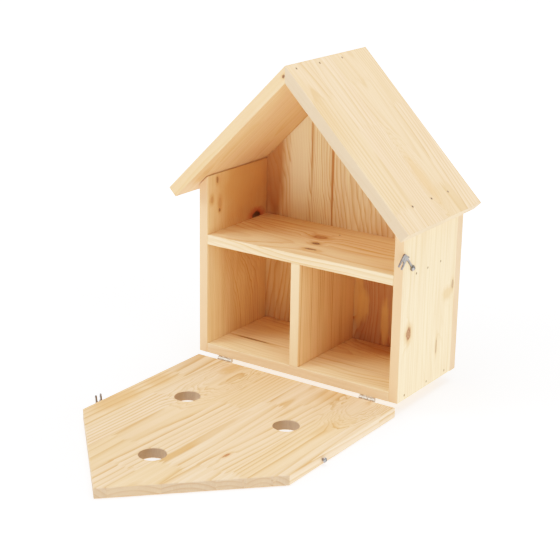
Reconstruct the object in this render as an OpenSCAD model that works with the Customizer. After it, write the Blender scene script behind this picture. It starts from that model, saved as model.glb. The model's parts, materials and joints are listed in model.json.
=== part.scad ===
// Wooden birdhouse with two nest compartments, a loft and a drop-down front door.
// Millimetres, +Z up, +X to the house's right as seen from the front, +Y to its back.
// The modules are drawn in the house's own frame: x = 0 at its middle, y = 0 at the
// front edges of the walls, z = 0 under the floor board. stand() then moves every piece
// so that the origin is under the middle of the whole object with its door lying open.

/* [House] */
// Width over the two side walls
house_w = 280; // [240:1:300]
// Depth of the side walls
wall_depth = 123; // [110:1:140]
// Height of a side wall at its outer face
wall_height = 209; // [195:1:230]
// Thickness of the walls, floor, shelf and divider
board_t = 12; // [11:0.5:14]
// Thickness of the back panel
back_t = 14; // [12:0.5:16]
// Height of the shelf's underside
shelf_z = 138; // [120:1:150]
// Sideways place of the divider's middle
divider_x = -1.5; // [-10:0.5:10]
// Width of the eased corners of every board
ease = 0.6; // [0.3:0.1:1]

/* [Roof] */
// Thickness of the roof boards
roof_t = 14; // [12:0.5:16]
// Length of a roof board down its slope
roof_len = 229; // [222:1:240]
// How far the roof stands forward of the walls
overhang = 30; // [24:1:36]
// Gap between a wall's bevelled top and the roof, measured upwards
roof_gap = 1.8; // [0.4:0.1:2]

/* [Front door] */
// Width of the door
door_w = 278; // [270:0.5:278]
// Thickness of the door
door_t = 12; // [11:0.5:13]
// Upright gap between the closed door and the roof
door_gap = 1.3; // [1.2:0.1:3]
// Diameter of the three entrance holes
hole_d = 30; // [26:1:34]
// Height of the two lower holes above the door's bottom edge
low_hole_s = 113; // [100:1:120]
// Sideways place of the two lower holes
low_hole_x = 68; // [55:1:75]
// Height of the upper hole above the door's bottom edge
top_hole_s = 254.5; // [240:0.5:265]
// Sideways place of the upper hole
top_hole_x = -3; // [-10:0.5:10]

/* [Hinges] */
// Distance of each hinge from the middle of the house
hinge_x = 100.5; // [80:0.5:110]
// Length of a hinge along its pin
hinge_len = 20; // [18:1:30]
// Distance of the hinge axis below the floor board
axis_drop = 2.8; // [2.8:0.1:3.2]
// Gap between the closed door and the wall edges
shut_gap = 0.5; // [0.4:0.1:0.8]
// Depth of a hinge leaf from the axis
leaf_depth = 11.2; // [10.5:0.1:11.5]
// Radius of the hinge knuckles
knuckle_r = 2.5; // [2.3:0.1:2.5]
// Radius of the hinge pins
pin_r = 1.2; // [1:0.05:1.4]

/* [Latches] */
// Depth of the wall screw of each latch behind the wall's front edge
latch_y = 18.7; // [18:0.1:19.5]
// Height of the hook's screw above the floor board's underside, door closed
hook_z = 156.3; // [150:0.1:165]
// How much lower the catch screw is than the hook's screw
catch_drop = 6.4; // [5.5:0.1:7]
// Thickness of the stamped hooks
hook_t = 1.5; // [1.2:0.1:1.8]
// Slope of the right hook's arm, counted from straight back over the top
right_hook_angle = 133.6; // [90:0.1:170]
// Slope of the left hook's arm with the door lying open
left_hook_angle = 186.5; // [180:0.1:186.5]

/* [Nails] */
// Length of the nails
nail_len = 30; // [24:1:32]
// Radius of a nail's shank
nail_r = 0.8; // [0.6:0.05:1]
// Radius of a nail's head
nail_head_r = 1.5; // [1.2:0.05:1.8]

/* [Hidden] */

$fn = 64;
eps = 0.01;      // overlap that keeps cuts clean
fit = 0.02;      // gap round a nail or screw in its own wood
big = 600;       // longer than anything here

// House
half_w = house_w / 2;
inner_w = house_w - 2 * board_t;
eave_z = wall_height + half_w + roof_gap;           // where the two roof undersides meet
ridge_z = eave_z + roof_t * sqrt(2);                // top of the roof
house_back = wall_depth + back_t;

// Door: s runs from its hinged edge, the inner face is its lower face when shut
door_side = eave_z - door_gap - door_w / 2;         // length of the door's straight sides
door_len = eave_z - door_gap;
door_edge_y = -axis_drop;                           // hinged edge, door lying open
door_top_z = -axis_drop - shut_gap;                 // inner face, door lying open
door_mid = shut_gap + door_t / 2;                   // axis to the middle of the door's thickness

// Hinges
knuckles = 5;
knuckle_gap = 0.3;
leaf_t = 1;
leaf_screw_x = 6;
leaf_clear = 0.35;                                  // leaf to the other leaf's knuckles
pin_gap = 0.05;
csk_r = 2.3;
csk_h = 0.9;
hinge_screw_r = 1.05;
hinge_screw_len = 9;

// Latches
hook_side = 0.3;                                    // wall face to hook
round_head_r = 3.1;
round_head_h = 2.2;
latch_screw_r = 1.55;
latch_screw_len = 10;
hook_bore_gap = 0.05;
eye_r = 3.6;
arm_w = 2.6;
prong_w = 2.5;
notch_u = 24.4;                                     // distance of the notch along the arm
notch_v = 9.6;                                      // centre of the notch's round end
notch_r = 2.6;
inner_tip = 15.45;
outer_tip = 16.85;
catch_s = hook_z - catch_drop + axis_drop;          // catch screw on the door, from the axis
pivot_s = hook_z + axis_drop;                       // hook screw on the door, from the axis

// Nails
nail_sink = 0.25;
nail_head_t = 0.9;
nail_point = 2;
ridge_nail_y = [-15, 31.5, 78];
eave_nail_y = [10, 52, 90];
eave_nail_x = 142;
eave_nail_toe = 26.3;                               // how far the eave nails lean to the upright
shelf_nail_y = [30, 56, 86];
shelf_nail_rise = 3;                                // above the middle of the shelf's thickness
floor_nail_y = [15, 66, 109];
back_wall_nail_z = [40, 110, 180];
back_board_nail_x = 62;
divider_nail_y = [25.5, 95];

// Colours
pine = [0.93, 0.80, 0.60];
pale_pine = [0.96, 0.87, 0.70];
zinc = [0.70, 0.71, 0.74];
steel = [0.55, 0.56, 0.58];

// ---------------------------------------------------------------- frame

// From the house's frame to the frame of the whole object
module stand() {
    translate([0, (door_len - door_edge_y - house_back) / 2, axis_drop + shut_gap + door_t])
        children();
}

// The door lying open: x across, y away from the hinged edge, z up through its thickness
module open_door() {
    translate([0, door_edge_y, door_top_z]) rotate([0, 0, 180]) mirror([1, 0, 0]) children();
}

// ---------------------------------------------------------------- boards

// Outline of a rectangle with its corners cut at 45 degrees
module eased_rect(w, h) {
    polygon([[ease, 0], [w - ease, 0], [w, ease], [w, h - ease],
        [w - ease, h], [ease, h], [0, h - ease], [0, ease]]);
}

// Board with all twelve edges eased, one corner at the origin
module board(size) {
    intersection() {
        linear_extrude(size[2]) eased_rect(size[0], size[1]);
        translate([0, size[1], 0]) rotate([90, 0, 0])
            linear_extrude(size[1]) eased_rect(size[0], size[2]);
        rotate([90, 0, 90]) linear_extrude(size[0]) eased_rect(size[1], size[2]);
    }
}

// Bar of triangular section that eases one straight edge from a to b, normal pointing out
module edge_cut(a, b, z, up) {
    run = norm(b - a);
    turn = atan2(b[1] - a[1], b[0] - a[0]);
    translate([a[0], a[1], z]) rotate([0, 0, turn]) rotate([90, 0, 90]) translate([0, 0, -10])
        linear_extrude(run + 20)
            polygon([[-eps, up * eps], [ease, up * eps], [-eps, -up * ease]]);
}

// Flat panel with the given outline, listed anticlockwise, and eased faces, z 0 to t
module eased_panel(points, t) {
    count = len(points);
    difference() {
        linear_extrude(t) polygon(points);
        for (i = [0 : count - 1]) {
            edge_cut(points[i], points[(i + 1) % count], t, 1);
            edge_cut(points[i], points[(i + 1) % count], 0, -1);
        }
    }
}

// Outline of the gable-ended back panel and door: width, side height, bottom edge on y = 0
function gable(w, side) = [[-w / 2, 0], [w / 2, 0], [w / 2, side], [0, side + w / 2],
    [-w / 2, side]];

// ---------------------------------------------------------------- fasteners

// Nail driven straight down into a face at z = 0, its head just under the face
module nail() {
    translate([0, 0, -nail_sink - nail_head_t]) cylinder(r = nail_head_r, h = nail_head_t);
    translate([0, 0, -nail_len + nail_point])
        cylinder(r = nail_r, h = nail_len - nail_point - nail_sink - nail_head_t / 2);
    translate([0, 0, -nail_len]) cylinder(r1 = 0.15, r2 = nail_r, h = nail_point + eps);
}

// The hole that a nail has made
module nail_hole() {
    translate([0, 0, -nail_sink - nail_head_t - fit])
        cylinder(r = nail_head_r + fit, h = nail_sink + nail_head_t + fit + 3);
    translate([0, 0, -nail_len - fit]) cylinder(r = nail_r + fit, h = nail_len);
}

// Cross recess cut down from z = 0
module cross_recess(size, depth) {
    for (turn = [0, 90])
        rotate([0, 0, turn]) translate([-size / 2, -0.25, -depth]) cube([size, 0.5, depth + 1]);
}

// Countersunk hinge screw, its flat head level with z = 0 and its tip pointing down
module hinge_screw() {
    difference() {
        union() {
            translate([0, 0, -csk_h]) cylinder(r1 = hinge_screw_r, r2 = csk_r - fit, h = csk_h);
            translate([0, 0, -hinge_screw_len + 1.5])
                cylinder(r = hinge_screw_r, h = hinge_screw_len - 1.5 - csk_h / 2);
            translate([0, 0, -hinge_screw_len])
                cylinder(r1 = 0.2, r2 = hinge_screw_r, h = 1.5 + eps);
        }
        cross_recess(2.6, 0.6);
    }
}

// Hole for a hinge screw in a leaf or a board
module hinge_screw_hole() {
    translate([0, 0, -csk_h]) cylinder(r1 = hinge_screw_r + fit, r2 = csk_r, h = csk_h);
    cylinder(r = csk_r, h = 1);
    translate([0, 0, -hinge_screw_len - fit])
        cylinder(r = hinge_screw_r + fit, h = hinge_screw_len);
}

// Round-head screw: under its head at z = 0, shank pointing down to -reach
module round_screw(reach) {
    dome_r = (round_head_r * round_head_r + round_head_h * round_head_h) / (2 * round_head_h);
    difference() {
        union() {
            intersection() {
                translate([0, 0, round_head_h - dome_r]) sphere(r = dome_r);
                cylinder(r = round_head_r + 1, h = round_head_h + 1);
            }
            translate([0, 0, -reach + 2]) cylinder(r = latch_screw_r, h = reach - 2 + eps);
            translate([0, 0, -reach]) cylinder(r1 = 0.2, r2 = latch_screw_r, h = 2 + eps);
        }
        translate([0, 0, round_head_h]) cross_recess(3.2, 0.9);
    }
}

// Pilot hole of a round-head screw, from a face at z = 0 down
module round_screw_hole() {
    translate([0, 0, -latch_screw_len - fit])
        cylinder(r = latch_screw_r + fit, h = latch_screw_len + 1);
}

// ---------------------------------------------------------------- places

// Frame of a roof slope: side 1 is the right one. x runs down the slope from the ridge's
// top edge, z points out of the roof, y stays the house's y.
module on_slope(side) {
    translate([0, 0, ridge_z]) mirror([side < 0 ? 1 : 0, 0, 0]) rotate([0, 45, 0]) children();
}

// Nails through the right roof board into the mitred end of the left one
module at_ridge_nails() {
    on_slope(1) for (y = ridge_nail_y) translate([roof_t / 2, y, 0]) children();
}

// Nails through a roof board into the top of its wall
module at_eave_nails(side) {
    on_slope(side) for (y = eave_nail_y)
        translate([eave_nail_x * sqrt(2), y, 0]) rotate([0, -eave_nail_toe, 0]) children();
}

// Nails through a wall into the ends of the shelf and the floor
module at_wall_nails(side) {
    for (y = shelf_nail_y)
        translate([side * half_w, y, shelf_z + board_t / 2 + shelf_nail_rise])
            rotate([0, side * 90, 0]) children();
    for (y = floor_nail_y)
        translate([side * half_w, y, board_t / 2]) rotate([0, side * 90, 0]) children();
}

// Nails through the back panel into the walls, the floor, the shelf and the divider
module at_back_nails() {
    for (side = [-1, 1]) {
        for (z = back_wall_nail_z)
            translate([side * (half_w - board_t / 2), house_back, z]) rotate([-90, 0, 0]) children();
        for (z = [board_t / 2, shelf_z + board_t / 2])
            translate([side * back_board_nail_x, house_back, z]) rotate([-90, 0, 0]) children();
    }
    translate([divider_x, house_back, (board_t + shelf_z) / 2]) rotate([-90, 0, 0]) children();
}

// Nails down through the shelf and up through the floor into the divider
module at_divider_nails() {
    for (y = divider_nail_y) {
        translate([divider_x, y, shelf_z + board_t]) children();
        translate([divider_x, y, 0]) rotate([180, 0, 0]) children();
    }
}

// Hinge frame: x along the pin, the floor board's underside above it
module at_hinge(side) {
    translate([side * hinge_x, 0, -axis_drop]) children();
}

// Frame of a leaf that lies under the floor board, or on the door's bottom edge
module leaf_frame(on_door) {
    rotate([on_door ? 90 : 0, 0, 0]) mirror([0, on_door ? 1 : 0, 0]) children();
}

// Screws of one leaf, heads down in the leaf's own frame
module at_leaf_screws(on_door) {
    leaf_frame(on_door) for (x = [-leaf_screw_x, leaf_screw_x])
        translate([x, door_mid, axis_drop - leaf_t]) rotate([180, 0, 0]) children();
}

// Screw in the outer face of a wall, its axis along x; z points out of the wall
module on_wall(side, y, z) {
    translate([side * half_w, y, z]) rotate([0, side * 90, 0]) children();
}

// Screw in the side edge of the open door, s from the hinge axis; z points out of the door
module on_door_edge(side, s) {
    translate([side * door_w / 2, -s, -axis_drop - door_mid]) rotate([0, side * 90, 0]) children();
}

// ---------------------------------------------------------------- house

module back_panel() {
    color(pale_pine) difference() {
        translate([0, house_back, 0]) rotate([90, 0, 0])
            eased_panel(gable(house_w, eave_z - half_w), back_t);
        at_back_nails() nail_hole();
    }
}

// Side wall with its top bevelled to the roof slope
module wall(side) {
    slope = wall_height + half_w;
    difference() {
        translate([side > 0 ? half_w - board_t : -half_w, 0, 0])
            board([board_t, wall_depth, wall_height + board_t + 5]);
        // wood above the bevel
        mirror([side < 0 ? 1 : 0, 0, 0]) translate([0, -1, slope]) rotate([0, 45, 0])
            cube([big, wall_depth + 2, big]);
        at_wall_nails(side) nail_hole();
        at_eave_nails(side) nail_hole();
        at_back_nails() nail_hole();
        on_wall(side, latch_y, side > 0 ? hook_z : hook_z - catch_drop) round_screw_hole();
    }
}

module left_wall() {
    color(pine) wall(-1);
}

module right_wall() {
    color(pale_pine) wall(1);
}

module floor_board() {
    color(pine) difference() {
        translate([-inner_w / 2, 0, 0]) board([inner_w, wall_depth, board_t]);
        for (side = [-1, 1]) {
            at_wall_nails(side) nail_hole();
            at_hinge(side) at_leaf_screws(false) hinge_screw_hole();
        }
        at_back_nails() nail_hole();
        at_divider_nails() nail_hole();
    }
}

module shelf() {
    color(pine) difference() {
        translate([-inner_w / 2, 0, shelf_z]) board([inner_w, wall_depth, board_t]);
        for (side = [-1, 1])
            at_wall_nails(side) nail_hole();
        at_back_nails() nail_hole();
        at_divider_nails() nail_hole();
    }
}

module divider() {
    color(pine) difference() {
        translate([divider_x - board_t / 2, 0, board_t])
            board([board_t, wall_depth, shelf_z - board_t]);
        at_back_nails() nail_hole();
        at_divider_nails() nail_hole();
    }
}

// Roof board, mitred to meet the other one in the upright plane under the ridge
module roof_board(side) {
    difference() {
        on_slope(side) translate([0, -overhang, -roof_t])
            board([roof_len, overhang + house_back, roof_t]);
        translate([side > 0 ? -big : 0, -big / 2, 0]) cube(big);
    }
}

module roof_left() {
    color(pine) difference() {
        roof_board(-1);
        at_ridge_nails() nail_hole();
        at_eave_nails(-1) nail_hole();
    }
}

module roof_right() {
    color(pale_pine) difference() {
        roof_board(1);
        at_ridge_nails() nail_hole();
        at_eave_nails(1) nail_hole();
    }
}

// ---------------------------------------------------------------- door

// Round entrance hole with eased rims, through a panel from z = 0 to t
module entrance_hole(t) {
    translate([0, 0, -1]) cylinder(d = hole_d, h = t + 2);
    translate([0, 0, t - ease]) cylinder(r1 = hole_d / 2, r2 = hole_d / 2 + ease + eps, h = ease + eps);
    translate([0, 0, -eps]) cylinder(r1 = hole_d / 2 + ease + eps, r2 = hole_d / 2, h = ease + eps);
}

module front_door() {
    color(pine) difference() {
        open_door() translate([0, 0, -door_t]) difference() {
            eased_panel(gable(door_w, door_side), door_t);
            for (x = [-low_hole_x, low_hole_x])
                translate([x, low_hole_s, 0]) entrance_hole(door_t);
            translate([top_hole_x, top_hole_s, 0]) entrance_hole(door_t);
        }
        for (side = [-1, 1])
            at_hinge(side) at_leaf_screws(true) hinge_screw_hole();
        on_door_edge(1, catch_s) round_screw_hole();
        on_door_edge(-1, pivot_s) round_screw_hole();
    }
}

// ---------------------------------------------------------------- hinges

// One leaf with its share of the knuckles: first = 0 has the outer ones, 1 the inner ones
module hinge_leaf(first) {
    pitch = hinge_len / knuckles;
    difference() {
        union() {
            translate([-hinge_len / 2, knuckle_r + leaf_clear, axis_drop - leaf_t])
                cube([hinge_len, leaf_depth - knuckle_r - leaf_clear, leaf_t]);
            for (i = [first : 2 : knuckles - 1])
                translate([-hinge_len / 2 + i * pitch + (i > 0 ? knuckle_gap / 2 : 0), 0, 0]) {
                    long = pitch - (i == 0 || i == knuckles - 1 ? 0.5 : 1) * knuckle_gap;
                    rotate([0, 90, 0]) cylinder(r = knuckle_r, h = long);
                    translate([0, 0, axis_drop - leaf_t])
                        cube([long, knuckle_r + leaf_clear + eps, leaf_t]);
                }
        }
        translate([-hinge_len, 0, 0]) rotate([0, 90, 0])
            cylinder(r = pin_r + pin_gap, h = 2 * hinge_len);
        for (x = [-leaf_screw_x, leaf_screw_x])
            translate([x, door_mid, axis_drop - leaf_t]) rotate([180, 0, 0]) hinge_screw_hole();
    }
}

module base_leaf(side) {
    color(zinc) at_hinge(side) leaf_frame(false) hinge_leaf(0);
}

module door_leaf(side) {
    color(zinc) at_hinge(side) leaf_frame(true) hinge_leaf(1);
}

// Hinge pin with a small flat head at each end
module hinge_pin(side) {
    head_t = 0.5;
    end_gap = 0.05;
    color(steel) at_hinge(side) rotate([0, 90, 0]) {
        translate([0, 0, -hinge_len / 2 - end_gap - head_t])
            cylinder(r = pin_r, h = hinge_len + 2 * (end_gap + head_t));
        for (end = [-hinge_len / 2 - end_gap - head_t, hinge_len / 2 + end_gap])
            translate([0, 0, end]) cylinder(r = pin_r + 0.5, h = head_t);
    }
}

module hinge_base_screws() {
    color(steel) for (side = [-1, 1])
        at_hinge(side) at_leaf_screws(false) hinge_screw();
}

module hinge_door_screws() {
    color(steel) for (side = [-1, 1])
        at_hinge(side) at_leaf_screws(true) hinge_screw();
}

// ---------------------------------------------------------------- latches

// Outline of the stamped hook: u along the arm from its eye, v towards the prongs
module hook_outline() {
    corner_r = 3.6;
    low = -arm_w / 2 - 0.2;
    outer_u = notch_u + notch_r + prong_w;
    inner_u = notch_u - notch_r - prong_w;
    difference() {
        union() {
            circle(r = eye_r);
            translate([0, -arm_w / 2]) square([notch_u, arm_w]);
            // plate that carries the prongs, with a rounded outer corner
            translate([outer_u - corner_r, low + corner_r]) circle(r = corner_r);
            translate([inner_u, low]) square([outer_u - corner_r - inner_u, notch_v - low]);
            translate([inner_u, low + corner_r])
                square([outer_u - inner_u, notch_v - low - corner_r]);
            prong(inner_u, inner_tip);
            prong(outer_u - prong_w, outer_tip);
            thumb_tab();
        }
        translate([notch_u, notch_v]) circle(r = notch_r);
        translate([notch_u - notch_r, notch_v]) square([2 * notch_r, outer_tip]);
        circle(r = latch_screw_r + hook_bore_gap);
    }
}

// Prong with a round tip
module prong(u, tip) {
    translate([u, notch_v - 1]) square([prong_w, tip - prong_w / 2 - notch_v + 1]);
    translate([u + prong_w / 2, tip - prong_w / 2]) circle(r = prong_w / 2);
}

// Tab behind the prongs that a finger lifts
module thumb_tab() {
    tab_r = 0.85;
    tab_tip = [17.8, -2.95];
    tab_root = [notch_u, -0.4];
    run = norm(tab_root - tab_tip);
    turn = atan2(tab_root[1] - tab_tip[1], tab_root[0] - tab_tip[0]);
    translate(tab_tip) circle(r = tab_r);
    translate(tab_tip) rotate(turn) translate([0, -tab_r]) square([run, 2 * tab_r]);
}

// Hook lying against the right wall, arm straight back, prongs up, its screw on the origin
module hook_blank() {
    rotate([90, 0, 90]) linear_extrude(hook_t) hook_outline();
}

module latch_hook_right() {
    color(zinc) translate([half_w + hook_side, latch_y, hook_z])
        rotate([right_hook_angle, 0, 0]) hook_blank();
}

// The same hook, turned over, on the edge of the door
module latch_hook_left() {
    color(zinc) translate([-half_w - hook_side, -pivot_s, -axis_drop - door_mid])
        rotate([left_hook_angle, 0, 0]) rotate([0, 180, 0]) hook_blank();
}

// How far the underside of a latch screw's head stands out of a wall's outer face
head_out = hook_side + hook_t + 0.2;
// The same for the door's edge, which is a little further in
edge_out = head_out + (house_w - door_w) / 2;

module latch_pivot_screw_right() {
    color(steel) on_wall(1, latch_y, hook_z)
        translate([0, 0, head_out]) round_screw(latch_screw_len + head_out);
}

module latch_pivot_screw_left() {
    color(steel) on_door_edge(-1, pivot_s)
        translate([0, 0, edge_out]) round_screw(latch_screw_len + edge_out);
}

module latch_catch_screw_right() {
    color(steel) on_door_edge(1, catch_s)
        translate([0, 0, edge_out + 0.1]) round_screw(latch_screw_len + edge_out + 0.1);
}

module latch_catch_screw_left() {
    color(steel) on_wall(-1, latch_y, hook_z - catch_drop)
        translate([0, 0, head_out + 0.1]) round_screw(latch_screw_len + head_out + 0.1);
}

// ---------------------------------------------------------------- nails

module nails_ridge() {
    color(steel) at_ridge_nails() nail();
}

module nails_roof_left() {
    color(steel) at_eave_nails(-1) nail();
}

module nails_roof_right() {
    color(steel) at_eave_nails(1) nail();
}

module nails_left_wall() {
    color(steel) at_wall_nails(-1) nail();
}

module nails_right_wall() {
    color(steel) at_wall_nails(1) nail();
}

module nails_back() {
    color(steel) at_back_nails() nail();
}

module nails_divider() {
    color(steel) at_divider_nails() nail();
}

stand() back_panel();
stand() left_wall();
stand() right_wall();
stand() floor_board();
stand() shelf();
stand() divider();
stand() roof_left();
stand() roof_right();
stand() front_door();
stand() base_leaf(-1);  // hinge_base_leaf_left
stand() base_leaf(1);  // hinge_base_leaf_right
stand() door_leaf(-1);  // hinge_door_leaf_left
stand() door_leaf(1);  // hinge_door_leaf_right
stand() hinge_pin(-1);  // hinge_pin_left
stand() hinge_pin(1);  // hinge_pin_right
stand() hinge_base_screws();
stand() hinge_door_screws();
stand() latch_hook_left();
stand() latch_hook_right();
stand() latch_pivot_screw_left();
stand() latch_pivot_screw_right();
stand() latch_catch_screw_left();
stand() latch_catch_screw_right();
stand() nails_ridge();
stand() nails_roof_left();
stand() nails_roof_right();
stand() nails_left_wall();
stand() nails_right_wall();
stand() nails_back();
stand() nails_divider();
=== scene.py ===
from collections import namedtuple
import json
import math

import bpy
from mathutils import Matrix, Vector


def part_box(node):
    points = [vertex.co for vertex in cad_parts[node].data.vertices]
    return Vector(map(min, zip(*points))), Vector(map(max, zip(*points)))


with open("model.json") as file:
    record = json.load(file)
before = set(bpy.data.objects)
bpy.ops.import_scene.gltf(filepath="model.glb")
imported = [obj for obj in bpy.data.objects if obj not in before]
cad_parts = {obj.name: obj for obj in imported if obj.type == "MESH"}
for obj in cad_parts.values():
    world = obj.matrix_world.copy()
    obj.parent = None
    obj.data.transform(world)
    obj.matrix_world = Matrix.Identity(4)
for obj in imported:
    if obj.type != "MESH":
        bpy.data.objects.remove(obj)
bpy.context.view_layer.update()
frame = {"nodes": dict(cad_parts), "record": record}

MM = 0.001
X, Y, Z = Vector((1, 0, 0)), Vector((0, 1, 0)), Vector((0, 0, 1))
DOWN_RIGHT = (X - Z).normalized()
DOWN_LEFT = (-X - Z).normalized()
OUT_RIGHT = (Z + X).normalized()
OUT_LEFT = (Z - X).normalized()

# The house's own frame inside the row: x = 0 at its middle, y = 0 at the front edges of the
# walls, z = 0 under the floor board. Lengths in it are in millimetres.
HOUSE_ORIGIN = Vector((0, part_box("left_wall")[0].y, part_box("floor_board")[0].z))
HOUSE_BACK = (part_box("back_panel")[1].y - HOUSE_ORIGIN.y) / MM
BACK_INSIDE = (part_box("back_panel")[0].y - HOUSE_ORIGIN.y) / MM
DOOR_HINGE_EDGE = (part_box("front_door")[1].y - HOUSE_ORIGIN.y) / MM
DOOR_TOP = (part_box("front_door")[1].z - HOUSE_ORIGIN.z) / MM
WALL_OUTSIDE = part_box("right_wall")[1].x / MM
SHELF_UNDERSIDE = (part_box("shelf")[0].z - HOUSE_ORIGIN.z) / MM
DIVIDER_MIDDLE = (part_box("divider")[0].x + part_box("divider")[1].x) / 2 / MM
# Height just over the ridge, from which the roof boards' grain is measured
ROOF_START = 370.6


def house_point(x, y, z):
    """A point of the house's frame, in row metres."""
    return HOUSE_ORIGIN + Vector((x, y, z)) * MM


# ------------------------------------------------------------------ node graphs

# How far one step of a seed moves the noise along, across and into a board
SEED_SHIFT = (7.3, 3.1, 5.7)


class Graph:
    """A node tree, built by short calls that return sockets."""

    def __init__(self, tree):
        self.tree = tree
        self.tree.nodes.clear()

    def node(self, kind, inputs=(), **settings):
        made = self.tree.nodes.new(kind)
        for key, value in settings.items():
            setattr(made, key, value)
        for key, value in dict(inputs).items():
            self.feed(made.inputs[key], value)
        return made

    def feed(self, socket, value):
        """Link another socket to this one, or set it to a constant."""
        if isinstance(value, bpy.types.NodeSocket):
            self.tree.links.new(value, socket)
        elif value is not None:
            socket.default_value = value

    def math(self, operation, a, b=None):
        made = self.node("ShaderNodeMath", operation=operation)
        for socket, value in zip(made.inputs, (a, b)):
            self.feed(socket, value)
        return made.outputs[0]

    def add(self, a, b):
        return self.math("ADD", a, b)

    def subtract(self, a, b):
        return self.math("SUBTRACT", a, b)

    def times(self, a, b):
        return self.math("MULTIPLY", a, b)

    def divide(self, a, b):
        return self.math("DIVIDE", a, b)

    def larger(self, a, b):
        return self.math("MAXIMUM", a, b)

    def sum_of_squares(self, a, b):
        return self.add(self.times(a, a), self.times(b, b))

    def vector(self, operation, a, b=None):
        made = self.node("ShaderNodeVectorMath", operation=operation)
        for socket, value in zip(made.inputs, (a, b)):
            self.feed(socket, value)
        return made.outputs[1 if operation in ("DOT_PRODUCT", "LENGTH") else 0]

    def combine(self, x, y, z):
        return self.node("ShaderNodeCombineXYZ", {0: x, 1: y, 2: z}).outputs[0]

    def noise(self, vector, detail=2.0, roughness=0.5):
        """Noise from 0 to 1, 0.5 on average."""
        return self.node(
            "ShaderNodeTexNoise",
            {"Vector": vector, "Scale": 1.0, "Detail": detail, "Roughness": roughness},
        ).outputs[0]

    def draw(self, number):
        """One random value from 0 to 1 for each whole number."""
        made = self.node("ShaderNodeTexWhiteNoise", {"W": number}, noise_dimensions="1D")
        return made.outputs[0]

    def grain(self, point, seed, size, detail=2.0, roughness=0.5):
        """Noise of a given size: its length along the grain, across it, and its own seed."""
        along, across, own_seed = size
        scaled = self.vector("MULTIPLY", point, (1 / along, 1 / across, 1 / across))
        shift = tuple((seed + own_seed) * part for part in SEED_SHIFT)
        return self.noise(self.vector("ADD", scaled, shift), detail, roughness)

    def step(self, value, low, high, start=0.0, end=1.0):
        """Smooth change from start to end as the value goes from low to high."""
        return self.node(
            "ShaderNodeMapRange",
            {"Value": value, "From Min": low, "From Max": high, "To Min": start, "To Max": end},
            interpolation_type="SMOOTHSTEP",
        ).outputs[0]

    def ramp(self, value, stops):
        """Grey level at each place from 0 to 1."""
        made = self.node("ShaderNodeValToRGB", {0: value})
        points = made.color_ramp.elements
        while len(points) < len(stops):
            points.new(0.5)
        for point, (place, level) in zip(points, stops):
            point.position = place
            point.color = (level, level, level, 1)
        return made.outputs[0]

    def mix(self, share, a, b):
        """Colour a with a share of colour b. Sockets 6 and 7 and output 2 are the colours."""
        made = self.node("ShaderNodeMix", data_type="RGBA")
        self.feed(made.inputs[0], share)
        self.feed(made.inputs[6], (*a, 1) if isinstance(a, tuple) else a)
        self.feed(made.inputs[7], (*b, 1) if isinstance(b, tuple) else b)
        return made.outputs[2]

    def surface(self, color, roughness, height, depth, **constants):
        """Principled surface whose height, from 0 to 1, stands for depth millimetres."""
        bump = self.node(
            "ShaderNodeBump", {"Height": height, "Strength": 1.0, "Distance": depth * MM}
        ).outputs[0]
        shader = self.node(
            "ShaderNodeBsdfPrincipled",
            {"Base Color": color, "Roughness": roughness, "Normal": bump, **constants},
        )
        self.node("ShaderNodeOutputMaterial", {"Surface": shader.outputs[0]})


def new_material(name):
    """An empty material, and the graph that it is built with."""
    material = bpy.data.materials.new(name)
    material.use_nodes = True
    return material, Graph(material.node_tree)


# ------------------------------------------------------------------ wood colours and sizes

CREAM = (0.85, 0.55, 0.30)
LATE = (0.64, 0.31, 0.10)
PINK = (0.83, 0.50, 0.29)
BLOCK_TAN = (0.80, 0.50, 0.25)
FIBRE = (0.66, 0.38, 0.16)
PORE = (0.50, 0.26, 0.10)
EASED = (0.88, 0.63, 0.38)
END_LIGHT = (0.60, 0.42, 0.25)
END_DARK = (0.46, 0.30, 0.17)
DOOR_END = (0.31, 0.205, 0.13)
HOLE_WALL_WITH_SHADE = (0.31, 0.18, 0.085)
WALL_SIDE = (0.76, 0.45, 0.24)

KNOT_RIM = (0.58, 0.26, 0.085)
KNOT_DARK = (0.10, 0.04, 0.02)
KNOT_BROWN = (0.25, 0.09, 0.03)
KNOT_RED = (0.36, 0.12, 0.04)
KNOT_BLACK = (0.02, 0.004, 0.003)
KNOT_BLACK_RIM = (0.50, 0.10, 0.03)
STAIN = (0.62, 0.30, 0.10)
DUSK = (0.50, 0.20, 0.055)
# The next two are painted shade at the back of the lower compartments
CORNER_PAINTED_SHADE = (0.70, 0.33, 0.09)
DEEP_PAINTED_SHADE = (0.42, 0.115, 0.016)
TAN = (0.80, 0.44, 0.15)
PALE = (0.96, 0.75, 0.46)
ROOF_STAIN = (0.74, 0.37, 0.15)

# Sizes for Graph.grain: length along the grain and across it, in millimetres, and own seed
SLOW_BEND = (230, 75, 0)
QUICK_BEND = (60, 16, 2)
PATCHES = (160, 42, 4)
FIBRES = (45, 0.9, 1)
STREAKS = (130, 3.4, 5)
PORES = (9, 0.35, 3)
WARMTH = (190, 38, 6)
# Noise on sawn surfaces, per millimetre along, across and into the board
SAWN = (0.5, 0.9, 0.12)

# How far the two bends move the rings, in millimetres
SLOW_REACH, QUICK_REACH = 34, 3.2
# Darkness of the wood at each part of a year's growth
YEAR = ((0.0, 0.35), (0.06, 0.0), (0.50, 0.08), (0.74, 0.40), (0.88, 0.85), (0.96, 1.0), (1.0, 0.35))

# How strongly each layer tints the wood
BLOCK_SHARE, GLUE_SHARE = 0.55, 0.22
STREAK_SHARE, FIBRE_SHARE, PORE_SHARE = 0.34, 0.20, 0.14
SAWN_SHARE, EASED_SHARE = 0.5, 0.30

# Height of the relief in millimetres, and what each layer adds to it or takes from it
WOOD_RELIEF = 0.16
FIBRE_RISE, LATE_RISE, SAWN_RISE = 0.55, -0.45, 1.6
PORE_SINK, GLUE_SINK = 0.25, 0.4
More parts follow.
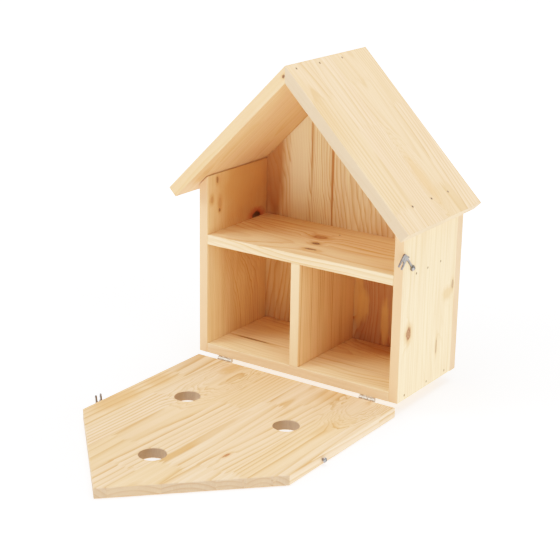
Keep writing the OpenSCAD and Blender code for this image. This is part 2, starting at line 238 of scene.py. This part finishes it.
# Roughness where the fibres are lowest and highest, what a cut adds to it, and reflectivity
SMOOTH, ROUGH, CUT_ROUGH = 0.50, 0.68, 0.2
REFLECTIVITY = 0.32


# ------------------------------------------------------------------ knots, stains and painted shade

# Size of the ragged outline's noise in knot sizes, its own seed and how ragged it is
RAGGED_ALONG, RAGGED_ACROSS, RAGGED_SEED = 0.8, 0.7, 9
RAGGED = 0.9
# How far a knot pushes the rings aside unless lift says so, and from where to where this
# fades, in knot sizes
LIFT = 0.9
PUSH_START, PUSH_END = 0.6, 3.4
# Where a knot's tint starts to fade and how strong it is
TINT_START, TINT_SHARE = 0.7, 0.6
# Where a knot's core fades, how fine its rings are and how dark the palest one is, and how far
# the core sinks
CORE_START, CORE_END = 0.72, 1.05
CORE_RINGS, CORE_RING_LOW = 13.0, 0.72
CORE_SINK = 0.5


def knot(along, across, size, stretch=1.0, dark=1.0, halo=1.0, core=KNOT_DARK, tint=KNOT_RIM,
         reach=2.3, lift=None, deep=None, depth=None):
    """A knot in a board's own axes, in millimetres.

    stretch is how much longer it is than wide, dark and halo the strength of its core and of
    the tint round it, reach how far that tint goes in knot sizes, and lift how far it pushes
    the rings aside. Where deep is given, the knot doesn't go through the board: deep is its
    middle in the board's thickness, and depth its size that way.
    """
    return {
        "along": along, "across": across, "size": size, "stretch": stretch, "dark": dark,
        "halo": halo, "core": core, "tint": tint, "reach": reach,
        "lift": size * LIFT if lift is None else lift, "deep": deep, "depth": depth or size,
    }


def tinted_patch(along, across, size, stretch, strength, tint=STAIN, **more):
    """A tinted patch without a core: most are stains in the wood, and some are painted shade."""
    return knot(along, across, size, stretch, dark=0.0, halo=strength, tint=tint, **more)


def swirl(along, across, size, stretch, lift):
    """A place where the rings bend and nothing else changes."""
    return knot(along, across, size, stretch, dark=0.0, halo=0.0, lift=lift)


def knot_distance(g, mark, place, seed):
    """Distance from a knot's middle, in knot sizes and a little ragged."""
    long_size = mark["size"] * mark["stretch"]
    dx = g.divide(g.subtract(place.along, mark["along"]), long_size)
    dy = g.divide(g.subtract(place.across, mark["across"]), mark["size"])
    square = g.sum_of_squares(dx, dy)
    if mark["deep"] is not None:
        dz = g.divide(g.subtract(place.deep, mark["deep"]), mark["depth"])
        square = g.add(square, g.times(dz, dz))
    outline = (long_size * RAGGED_ALONG, mark["size"] * RAGGED_ACROSS, RAGGED_SEED)
    ragged = g.subtract(g.grain(place.point, seed, outline), 0.5)
    return g.add(g.math("SQRT", square), g.times(ragged, RAGGED))


def color_knots(g, color, marks):
    """The colour with the knots in it, and how far their cores sink in."""
    sunk = 0.0
    for mark, distance in marks:
        halo = g.step(distance, TINT_START, mark["reach"], 1.0, 0.0)
        color = g.mix(g.times(halo, min(TINT_SHARE * mark["halo"], 1.0)), color, mark["tint"])
        if mark["dark"] > 0:
            wave = g.math("SINE", g.times(distance, CORE_RINGS))
            rings = g.step(wave, -1.0, 1.0, CORE_RING_LOW, 1.0)
            core = g.times(g.step(distance, CORE_START, CORE_END, 1.0, 0.0), rings)
            core = g.times(core, mark["dark"])
            color = g.mix(core, color, mark["core"])
            sunk = g.add(sunk, g.times(core, CORE_SINK))
    return color, sunk


# ------------------------------------------------------------------ boards

# Glued-up boards: half the pitch of the finger joints and the slope of a finger's sides, and the
# width of a glue line at a block's side and end
FINGER_HALF, FINGER_SLOPE = 2.2, 4.0
GLUE_SIDE, GLUE_END = 0.35, 0.5
# How many block lengths the strips are staggered by at most, how far apart the blocks' noise is
# taken, how deep the nearest pith lies, and what draws a block's tone from its random number
BLOCK_STAGGER, BLOCK_APART = 3.0, 700
PITH_LEAST = -14.0
TONE_DRAW = 7.0
# How much lighter the lightest block's end is than the darkest one's
END_SPREAD = 1.3
# Where the tone of a drilled hole's wall fades, in millimetres outside the hole
HOLE_FADE_START, HOLE_FADE_END = 0.2, 0.6

# Where a point is in its board, in millimetres, and how squarely the surface faces each axis
Place = namedtuple("Place", "along across deep point facing")

# What a point grew in: its place there, the pith and the slope of the rings, and for a
# glued-up board the block's tone and a value that is 1 on a glue line and 0 elsewhere
Log = namedtuple("Log", "point across pith_across pith_deep slope tone glue")


def place_in_board(g, origin, axes):
    """A point's place along a board's grain, across it and into its thickness."""
    source = g.node("ShaderNodeTexCoord")
    local = []
    for axis in axes:
        scaled = g.vector("DOT_PRODUCT", source.outputs["Object"], tuple(axis / MM))
        local.append(g.subtract(scaled, house_point(*origin).dot(axis) / MM))
    facing = [g.math("ABSOLUTE", g.vector("DOT_PRODUCT", source.outputs["Normal"], tuple(axis)))
              for axis in axes]
    return Place(*local, g.combine(*local), facing)


def glued_blocks(g, place, blocks, seed, pith, taper):
    """The log that each block of a glued-up board was cut from, and the glue lines."""
    width, start, length = blocks
    order = g.math("FLOOR", g.divide(g.subtract(place.across, start), width))
    middle = g.add(g.times(g.add(order, 0.5), width), start)
    centre = g.subtract(place.across, middle)
    strip = g.add(order, seed)
    fingers = g.times(g.math("PINGPONG", centre, FINGER_HALF), FINGER_SLOPE)
    lengthwise = g.add(g.divide(g.add(place.along, fingers), length),
                       g.times(g.draw(strip), BLOCK_STAGGER))
    number = g.combine(strip, g.math("FLOOR", lengthwise), 0.5)
    lot = g.node("ShaderNodeTexWhiteNoise", {"Vector": number}).outputs["Color"]
    first, second, third = g.node("ShaderNodeSeparateColor", {0: lot}).outputs
    away = g.vector("MULTIPLY", lot, (BLOCK_APART,) * 3)
    side = g.step(g.math("ABSOLUTE", centre), width / 2 - GLUE_SIDE, width / 2)
    end_distance = g.times(g.math("PINGPONG", lengthwise, 0.5), length)
    end = g.step(end_distance, 0.0, GLUE_END, 1.0, 0.0)
    return Log(
        point=g.vector("ADD", place.point, away),
        across=centre,
        pith_across=g.times(g.subtract(first, 0.5), pith[0]),
        pith_deep=g.add(g.times(second, pith[1]), PITH_LEAST),
        slope=g.times(g.subtract(third, 0.5), taper * 2),
        tone=g.math("FRACT", g.times(first, TONE_DRAW)),
        glue=g.larger(side, end),
    )


def ring_growth(g, place, log, marks, wander, seed):
    """Distance from the pith, tapered along the log, bent here and there and lifted by knots."""
    aside = g.subtract(log.across, log.pith_across)
    below = g.subtract(place.deep, log.pith_deep)
    radius = g.math("SQRT", g.sum_of_squares(aside, below))
    slow = g.subtract(g.grain(log.point, seed, SLOW_BEND, 1.0), 0.5)
    quick = g.subtract(g.grain(log.point, seed, QUICK_BEND), 0.5)
    bends = g.add(g.times(slow, SLOW_REACH * wander), g.times(quick, QUICK_REACH * wander))
    growth = g.add(g.add(radius, g.times(place.along, log.slope)), bends)
    for mark, distance in marks:
        growth = g.add(growth, g.step(distance, PUSH_START, PUSH_END, mark["lift"], 0.0))
    return growth


def year_lines(g, log, growth, spacing, contrast, faint, seed):
    """Share of dark late wood, which differs from year to year and from patch to patch."""
    phase = g.divide(growth, spacing)
    ring = g.ramp(g.math("FRACT", phase), YEAR)
    strength = g.step(g.draw(g.math("FLOOR", phase)), 0.0, 1.0, faint, 1.0)
    patch = g.step(g.grain(log.point, seed, PATCHES, 1.0), 0.38, 0.62, faint, 1.0)
    return g.times(g.times(ring, strength), g.times(patch, contrast))


def planed_color(g, log, lines, fibre, pores, seed, early, late, pink):
    """Colour of planed wood: slow changes of tone, blocks, year lines, streaks, fibres, pores."""
    warm = g.grain(log.point, seed, WARMTH)
    streak = g.grain(log.point, seed, STREAKS, 2.0, 0.6)
    color = g.mix(g.step(warm, 0.38, 0.68, 0.0, pink), early, PINK)
    if log.tone is not None:
        color = g.mix(g.step(log.tone, 0.25, 1.0, 0.0, BLOCK_SHARE), color, BLOCK_TAN)
        color = g.mix(g.times(log.glue, GLUE_SHARE), color, PORE)
    color = g.mix(lines, color, late)
    color = g.mix(g.step(streak, 0.34, 0.62, STREAK_SHARE, 0.0), color, FIBRE)
    color = g.mix(g.step(fibre, 0.3, 0.7, FIBRE_SHARE, 0.0), color, FIBRE)
    return g.mix(g.times(pores, PORE_SHARE), color, PORE)


def hole_wall(g, place, hole):
    """1 on the wall of a drilled hole, given by its place and radius, and 0 elsewhere."""
    along, across, radius = hole
    square = g.sum_of_squares(g.subtract(place.along, along), g.subtract(place.across, across))
    distance = g.math("SQRT", square)
    near = g.step(distance, radius + HOLE_FADE_START, radius + HOLE_FADE_END, 1.0, 0.0)
    return g.times(near, g.step(place.facing[2], 0.2, 0.6, 1.0, 0.0))


def wood(name, origin, grain, width, thick, seed, pith, spacing=5.0, taper=0.03, wander=1.0,
         early=CREAM, late=LATE, contrast=0.55, faint=0.3, knots=(), blocks=None, end=END_LIGHT,
         pink=0.3, holes=(), side=None, cut_share=0.62):
    """Solid pine: growth rings round a pith line, fibres, knots and darker end grain.

    grain, width and thick are the board's axes and origin a point of the house's frame. pith is
    the pith's place across and into the board, and spacing the growth of a year, in millimetres.
    contrast is how dark the year lines are, and faint the strength of the weakest of them.
    blocks is the width, start and length of the blocks that the board is glued up from, and
    their piths are spread over the distances in pith. holes is the place and radius of each
    drilled hole, side the tone of the board's long edges and how far they take it, and
    cut_share how far the sawn ends take the tone of end.
    """
    material, g = new_material(name)
    place = place_in_board(g, origin, (grain, width, thick))
    log = Log(place.point, place.across, *pith, taper, tone=None, glue=0.0)
    if blocks:
        log = glued_blocks(g, place, blocks, seed, pith, taper)
        end = g.mix(log.tone, end, tuple(part * END_SPREAD for part in end))

    marks = [(mark, knot_distance(g, mark, place, seed)) for mark in knots]
    growth = ring_growth(g, place, log, marks, wander, seed)
    lines = year_lines(g, log, growth, spacing, contrast, faint, seed)
    fibre = g.grain(log.point, seed, FIBRES, 3.0, 0.6)
    pores = g.step(g.grain(log.point, seed, PORES), 0.62, 0.72)
    color = planed_color(g, log, lines, fibre, pores, seed, early, late, pink)
    color, sunk = color_knots(g, color, marks)

    # Long edges, drilled holes, sawn ends and eased corners
    along_facing, side_facing, face_facing = place.facing
    if side:
        side_tone, side_share = side
        color = g.mix(g.step(side_facing, 0.6, 0.9, 0.0, side_share), color, side_tone)
    bored = 0.0
    for hole in holes:
        # The wall of each hole takes the darker drilled end grain, deepened with painted shade
        # inside the hole
        inside = hole_wall(g, place, hole)
        color = g.mix(inside, color, HOLE_WALL_WITH_SHADE)
        bored = g.larger(bored, inside)
    sawn = g.noise(g.vector("MULTIPLY", place.point, SAWN), 4.0, 0.7)
    cut = g.times(g.step(along_facing, 0.35, 0.95), cut_share)
    sawn_color = g.mix(g.step(sawn, 0.3, 0.7, 0.0, SAWN_SHARE), end, END_DARK)
    color = g.mix(cut, color, sawn_color)
    if not holes:
        squarely = g.larger(along_facing, g.larger(side_facing, face_facing))
        color = g.mix(g.step(squarely, 0.75, 0.97, EASED_SHARE, 0.0), color, EASED)

    height = g.add(g.times(fibre, FIBRE_RISE), g.times(lines, LATE_RISE))
    height = g.add(height, g.times(g.larger(cut, bored), g.times(sawn, SAWN_RISE)))
    height = g.subtract(height, g.add(g.times(pores, PORE_SINK), sunk))
    height = g.subtract(height, g.times(log.glue, GLUE_SINK))
    rough = g.add(g.step(fibre, 0.25, 0.75, SMOOTH, ROUGH), g.times(cut, CUT_ROUGH))
    g.surface(color, rough, height, WOOD_RELIEF, **{"Specular IOR Level": REFLECTIVITY})
    return material


# Keeps a mark to the inner face of the back panel, whose own axes start at its back
AT_INNER_FACE = dict(deep=BACK_INSIDE - HOUSE_BACK, depth=5)

# The door's round entrances: places along its grain and across it, and radii
ENTRANCE_RADIUS = 15
ENTRANCES = [
    (113, -68, ENTRANCE_RADIUS),
    (113, 68, ENTRANCE_RADIUS),
    (254.5, -3, ENTRANCE_RADIUS),
]

BOARDS = {
    "back_panel": dict(
        origin=(0, HOUSE_BACK, 0), grain=Z, width=X, thick=Y, seed=3.0, pith=(52, -16),
        spacing=5.6, taper=0.022, wander=0.45, contrast=1.0, faint=0.7, late=(0.56, 0.22, 0.05),
        early=(0.98, 0.78, 0.46), side=((0.70, 0.42, 0.23), 0.9),
        knots=[
            tinted_patch(262, -79, 14, 14, 1.3, PALE, reach=1.25),
            tinted_patch(262, -31.5, 1.9, 60, 1.6, DUSK, reach=1.4),
            tinted_patch(262, -61.5, 1.1, 60, 1.3, DUSK, reach=1.6),
            # Partly the wood's own darker figure, partly painted shade in the corner by the left
            # wall under the roof
            tinted_patch(230, -119, 17, 5, 1.5, DUSK, reach=1.5),
            # Painted shade at the back of the lower left compartment, by the left wall
            tinted_patch(60, -100, 34, 2.0, 0.8, CORNER_PAINTED_SHADE, reach=2.0, **AT_INNER_FACE),
            # Painted shade at the back of the lower right compartment
            tinted_patch(50, 38, 30, 2.6, 1.2, DEEP_PAINTED_SHADE, reach=2.0, **AT_INNER_FACE),
            tinted_patch(66, 11, 6.5, 5.0, 1.2, TAN, reach=1.5, **AT_INNER_FACE),
            tinted_patch(58, 18, 6.5, 2.4, 1.2, TAN, reach=1.6, **AT_INNER_FACE),
            tinted_patch(40, 49, 4.5, 6.0, 1.3, TAN, reach=1.5, **AT_INNER_FACE),
        ],
    ),
    "left_wall": dict(
        origin=(-WALL_OUTSIDE, 0, 0), grain=Z, width=Y, thick=X, seed=5.0, pith=(-95, -6),
        spacing=4.4, taper=0.006, wander=0.12, contrast=0.8, late=(0.60, 0.27, 0.07),
        early=(0.93, 0.64, 0.33), side=(WALL_SIDE, 1.0),
        knots=[
            # A large darker patch at the top of the wall, under the roof
            tinted_patch(205, 80, 40, 0.9, 1.5),
            knot(213, 20, 2.4, 1.9, dark=0.6),
            knot(191, 9.3, 3.0, 1.6, dark=0.35, core=KNOT_RED),
            knot(183.6, 25, 3.6, 1.9, dark=0.3, core=KNOT_RED),
            knot(175, 24.6, 2.2, 1.2, dark=0.9),
            knot(151.5, 100, 10.0, 0.6, dark=1.4, halo=1.8, core=KNOT_BLACK, tint=KNOT_BLACK_RIM),
            # A dark spot on the front edge at the outer face, level with the latch
            knot(186, -0.5, 3.4, 1.3, halo=0.8, deep=0),
            tinted_patch(150, 60, 26, 1.5, 0.6),
        ],
    ),
    "right_wall": dict(
        origin=(WALL_OUTSIDE, 0, 0), grain=Z, width=Y, thick=X, seed=11.0, pith=(45, -48),
        spacing=5.5, contrast=0.40, early=(0.99, 0.71, 0.395), pink=0.1, side=(WALL_SIDE, 1.0),
        knots=[
            knot(79, 17.8, 6.0, 1.45, core=KNOT_BROWN),
            knot(43.9, 85.5, 2.0, 5.5, dark=0.6, halo=0.8),
            knot(111, 118.5, 3.2, 2.1, dark=0.6, halo=0.7, tint=STAIN),
            tinted_patch(103, 106, 7.0, 0.8, 0.9),
            tinted_patch(84, 88, 9, 2.0, 0.25),
        ],
    ),
    "floor_board": dict(
        origin=(0, 0, 0), grain=X, width=Y, thick=Z, seed=17.0, pith=(70, -40), spacing=4.6,
        taper=0.02, contrast=0.8, early=(0.97, 0.68, 0.38), side=((0.70, 0.42, 0.25), 0.55),
        knots=[
            knot(-92, 44, 1.8, 15.0, dark=0.85, halo=1.1),
            tinted_patch(60, 112, 13, 2.0, 0.9, DUSK),
        ],
    ),
    "shelf": dict(
        origin=(0, 0, SHELF_UNDERSIDE), grain=X, width=Y, thick=Z, seed=23.0, pith=(30, -60),
        spacing=5.2, taper=0.02, contrast=1.0, faint=0.5, early=(0.93, 0.69, 0.42),
        knots=[
            knot(-15.5, 73.0, 7.2, 1.5, dark=0.75, halo=0.9, core=KNOT_RED),
            knot(-5.6, 49.0, 4.4, 1.5, dark=0.9),
            knot(2.0, 26, 2.8, 3.0, dark=0.85),
            tinted_patch(-70, 60, 6.0, 4.0, 0.4),
        ],
    ),
    "divider": dict(
        origin=(DIVIDER_MIDDLE, 0, 0), grain=Z, width=Y, thick=X, seed=29.0, pith=(-70, 4),
        spacing=3.8, taper=0.004, wander=0.25, contrast=1.7, faint=0.05,
        early=(0.83, 0.51, 0.24), late=(0.46, 0.17, 0.04), side=(EASED, 0.5),
    ),
    "roof_left": dict(
        origin=(0, 0, ROOF_START), grain=DOWN_LEFT, width=Y, thick=OUT_LEFT, seed=31.0,
        pith=(40, -45), spacing=5.0, taper=0.05, contrast=0.5, wander=0.6, blocks=(44, -30, 260),
        pink=0.6,
        knots=[
            knot(9.8, -30, 1.9, 1.5, deep=-7.6),
            tinted_patch(190, -12, 5, 2.2, 0.6),
        ],
    ),
    "roof_right": dict(
        origin=(0, 0, ROOF_START), grain=DOWN_RIGHT, width=Y, thick=OUT_RIGHT, seed=37.0,
        pith=(60, -30), spacing=4.2, taper=0.05, contrast=1.1, faint=0.5, wander=0.3, pink=0.5,
        early=(0.885, 0.578, 0.345), late=(0.60, 0.31, 0.125), blocks=(44, -30, 150),
        side=((0.54, 0.40, 0.265), 0.75),
        knots=[
            tinted_patch(176, 62, 7, 3.4, 0.8, ROOF_STAIN, lift=22, reach=2.0),
            tinted_patch(60, -22, 8, 4.5, 0.5, lift=0),
        ],
    ),
    "front_door": dict(
        origin=(0, DOOR_HINGE_EDGE, DOOR_TOP), grain=-Y, width=X, thick=Z, seed=41.0,
        pith=(75, -60), spacing=4.9, taper=0.035, contrast=1.4, faint=0.5, wander=0.3,
        early=(0.86, 0.59, 0.37), late=(0.56, 0.28, 0.105), blocks=(38.5, 9.0, 190),
        end=DOOR_END, cut_share=1.0, holes=ENTRANCES,
        knots=[
            knot(212, 60.6, 2.3, 3.0, dark=0.9, halo=0.7, core=KNOT_RED),
            swirl(20, 106, 10, 2.4, lift=-30),
            swirl(44, -64, 11, 3.2, lift=-34),
            tinted_patch(16, -77, 6, 2.0, 1.1, lift=0),
            tinted_patch(168, -126, 11, 2.2, 1.0, lift=0),
            tinted_patch(95, -124, 8, 1.6, 0.8, lift=0),
            tinted_patch(12, 62, 7, 2.0, 0.7, lift=0),
            tinted_patch(95, 108, 5, 3.6, 0.6, lift=0),
        ],
    ),
}


# ------------------------------------------------------------------ metal

SCRATCH_COLOR, SCRATCH_SHARE = (0.30, 0.29, 0.28), 0.35
# Noise per millimetre
CLOUDS = (0.35, 0.35, 0.35)
SCRATCHES = (5.0, 0.8, 0.9)
# Height of the relief in millimetres, and how much of it each of them is
METAL_RELIEF = 0.03
CLOUD_RISE, SCRATCH_RISE = 0.4, 0.6
# How much smoother and rougher the clouds make the metal, and how much rougher the scratches
CLOUD_SMOOTHER, CLOUD_ROUGHER, SCRATCH_ROUGHER = 0.08, 0.12, 0.1


def metal(name, base, dull, roughness):
    """Zinc-plated or bare steel with a cloudy skin and fine scratches."""
    material, g = new_material(name)
    place = g.node("ShaderNodeTexCoord").outputs["Object"]
    point = g.vector("MULTIPLY", place, (1 / MM,) * 3)
    cloud = g.noise(g.vector("MULTIPLY", point, CLOUDS), 4.0, 0.6)
    scratch = g.noise(g.vector("MULTIPLY", point, SCRATCHES), 3.0, 0.7)
    color = g.mix(g.step(cloud, 0.35, 0.7), base, dull)
    color = g.mix(g.step(scratch, 0.6, 0.75, 0.0, SCRATCH_SHARE), color, SCRATCH_COLOR)
    rough = g.step(cloud, 0.3, 0.7, roughness - CLOUD_SMOOTHER, roughness + CLOUD_ROUGHER)
    rough = g.add(rough, g.step(scratch, 0.5, 0.8, 0.0, SCRATCH_ROUGHER))
    height = g.add(g.times(scratch, SCRATCH_RISE), g.times(cloud, CLOUD_RISE))
    g.surface(color, rough, height, METAL_RELIEF, Metallic=1.0)
    return material


# Brighter and duller colour and roughness of each metal
METALS = {
    "zinc": metal("zinc_plate", (0.28, 0.268, 0.26), (0.165, 0.155, 0.145), 0.42),
    "screw_steel": metal("screw_steel", (0.34, 0.34, 0.35), (0.20, 0.20, 0.20), 0.30),
    "nail_steel": metal("nail_steel", (0.20, 0.165, 0.13), (0.11, 0.085, 0.065), 0.60),
}
HINGE_METAL = metal("hinge_plate", (0.70, 0.61, 0.50), (0.46, 0.385, 0.30), 0.52)


def dress(node, material):
    """Give a CAD node one material."""
    mesh = frame["nodes"][node].data
    mesh.materials.clear()
    mesh.materials.append(material)


for board, look in BOARDS.items():
    dress(board, wood("pine_" + board, **look))
for row in frame["record"]["subparts"]:
    if row["node"].startswith("hinge_"):
        dress(row["node"], HINGE_METAL)
    elif row["material_slot"] in METALS:
        dress(row["node"], METALS[row["material_slot"]])


# ------------------------------------------------------------------ stage and light

WHITE_GLOW = (1, 1, 1, 1)
FLOOR_COLOR = (0.90, 0.90, 0.90, 1)
# Half the floor's side, and how far it lies under the object so that the two don't touch, in metres
FLOOR_HALF, FLOOR_DROP = 6.0, 0.0005
# What the floor and the surroundings light the object with
FLOOR_LIT, WORLD_LIT = 0.56, 0.30
# The glow in the picture: the floor's near the object, kept low there as painted shade under and
# round the object, and far from it, with the distances in metres, and the surroundings'
FLOOR_NEAR, FLOOR_SHADED_GLOW = 0.4, 0.40
FLOOR_FAR, FLOOR_FAR_GLOW = 1.3, 1.05
WORLD_SEEN = 1.5
# Point that the lights are aimed at, in metres
LIGHT_AIM = Vector((0, 0, 0.15))


def glow(g, lit, seen):
    """Strength of a white glow: what it lights the object with, and what the camera sees."""
    path = g.node("ShaderNodeLightPath").outputs["Is Camera Ray"]
    return g.add(g.times(g.subtract(1.0, path), lit), g.times(path, seen))


def stage_floor():
    """Pale floor that glows more away from the object, to read as white as the surroundings, and
    less near it as painted shade under and round the object.
    """
    half = FLOOR_HALF
    mesh = bpy.data.meshes.new("floor")
    mesh.from_pydata(
        [(-half, -half, 0), (half, -half, 0), (half, half, 0), (-half, half, 0)], [], [(0, 1, 2, 3)]
    )
    floor = bpy.data.objects.new("floor", mesh)
    floor.location.z = -FLOOR_DROP
    bpy.context.scene.collection.objects.link(floor)
    material, g = new_material("white_floor")
    away = g.vector("LENGTH", g.node("ShaderNodeTexCoord").outputs["Object"])
    # Less glow near the object: painted shade on the floor under and round it, seen only by the
    # camera
    seen = g.step(away, FLOOR_NEAR, FLOOR_FAR, FLOOR_SHADED_GLOW, FLOOR_FAR_GLOW)
    shader = g.node(
        "ShaderNodeBsdfPrincipled",
        {"Base Color": FLOOR_COLOR, "Roughness": 0.9, "Emission Color": WHITE_GLOW,
         "Emission Strength": glow(g, FLOOR_LIT, seen), "Specular IOR Level": 0.0},
    )
    g.node("ShaderNodeOutputMaterial", {"Surface": shader.outputs[0]})
    mesh.materials.append(material)


def surroundings():
    """White all round."""
    world = bpy.data.worlds.new("studio")
    world.use_nodes = True
    g = Graph(world.node_tree)
    strength = glow(g, WORLD_LIT, WORLD_SEEN)
    sky = g.node("ShaderNodeBackground", {"Color": WHITE_GLOW, "Strength": strength})
    g.node("ShaderNodeOutputWorld", {"Surface": sky.outputs[0]})
    bpy.context.scene.world = world


def area_light(name, place, size, power):
    """Square light of a given place and side in metres and power in watts, aimed at LIGHT_AIM."""
    data = bpy.data.lights.new(name, "AREA")
    data.shape = "SQUARE"
    data.size = size
    data.energy = power
    light = bpy.data.objects.new(name, data)
    light.location = place
    light.rotation_euler = (LIGHT_AIM - Vector(place)).to_track_quat("-Z", "Y").to_euler()
    bpy.context.scene.collection.objects.link(light)


# ------------------------------------------------------------------ camera and film

# Where the camera stands, seen from the point of the house's frame that it looks at
AZIMUTH = math.radians(34.253)
ELEVATION = math.radians(18.387)
ROLL = math.radians(0.966)
DISTANCE = 1547.9
TARGET = (31.7, -79.1, 146.3)
# Sensor width and focal length in millimetres, and the farthest that it sees in metres
SENSOR, LENS, CLIP_END = 36, 91.52, 50

# Tone curve: its gain, how deep its shade is, the levels that it is set at, and the one that clips
GAIN, TOE = 3.7, 1.16
CURVE_AT = (0.02, 0.05, 0.10, 0.18, 0.28, 0.40, 0.55, 0.72, 0.88)
WHITE_LEVEL = 1.4


def camera():
    """Camera at the photographed angle, slightly above and to the right of the front."""
    out = Vector((
        math.sin(AZIMUTH) * math.cos(ELEVATION),
        -math.cos(AZIMUTH) * math.cos(ELEVATION),
        math.sin(ELEVATION),
    ))
    right = (-out).cross(Z).normalized()
    up = right.cross(-out)
    across = math.cos(ROLL) * right + math.sin(ROLL) * up
    upward = math.cos(ROLL) * up - math.sin(ROLL) * right
    data = bpy.data.cameras.new("camera")
    data.sensor_width = SENSOR
    data.lens = LENS
    data.clip_end = CLIP_END
    made = bpy.data.objects.new("camera", data)
    made.matrix_world = (
        Matrix.Translation(house_point(*TARGET) + out * DISTANCE * MM)
        @ Matrix((across, upward, out)).transposed().to_4x4()
    )
    bpy.context.scene.collection.objects.link(made)
    bpy.context.scene.camera = made


def film():
    """Photographic tone curve: deep shade, soft highlights, and a ground that clips to white."""
    view = bpy.context.scene.view_settings
    view.view_transform = "Standard"
    view.use_curve_mapping = True
    mapping = view.curve_mapping
    mapping.white_level = (WHITE_LEVEL,) * 3
    curve = mapping.curves[3]
    for level in CURVE_AT:
        raised = GAIN * level**TOE
        curve.points.new(level, raised / (raised + (1 - level)**TOE))
    mapping.update()


film()
stage_floor()
surroundings()
area_light("top", (0.2, -0.2, 2.4), size=2.0, power=40)
area_light("right", (2.3, -0.4, 0.7), size=1.2, power=13)
area_light("left", (-1.8, -1.8, 1.4), size=1.4, power=33)
area_light("rear", (0.6, 2.2, 1.9), size=1.6, power=14)
camera()
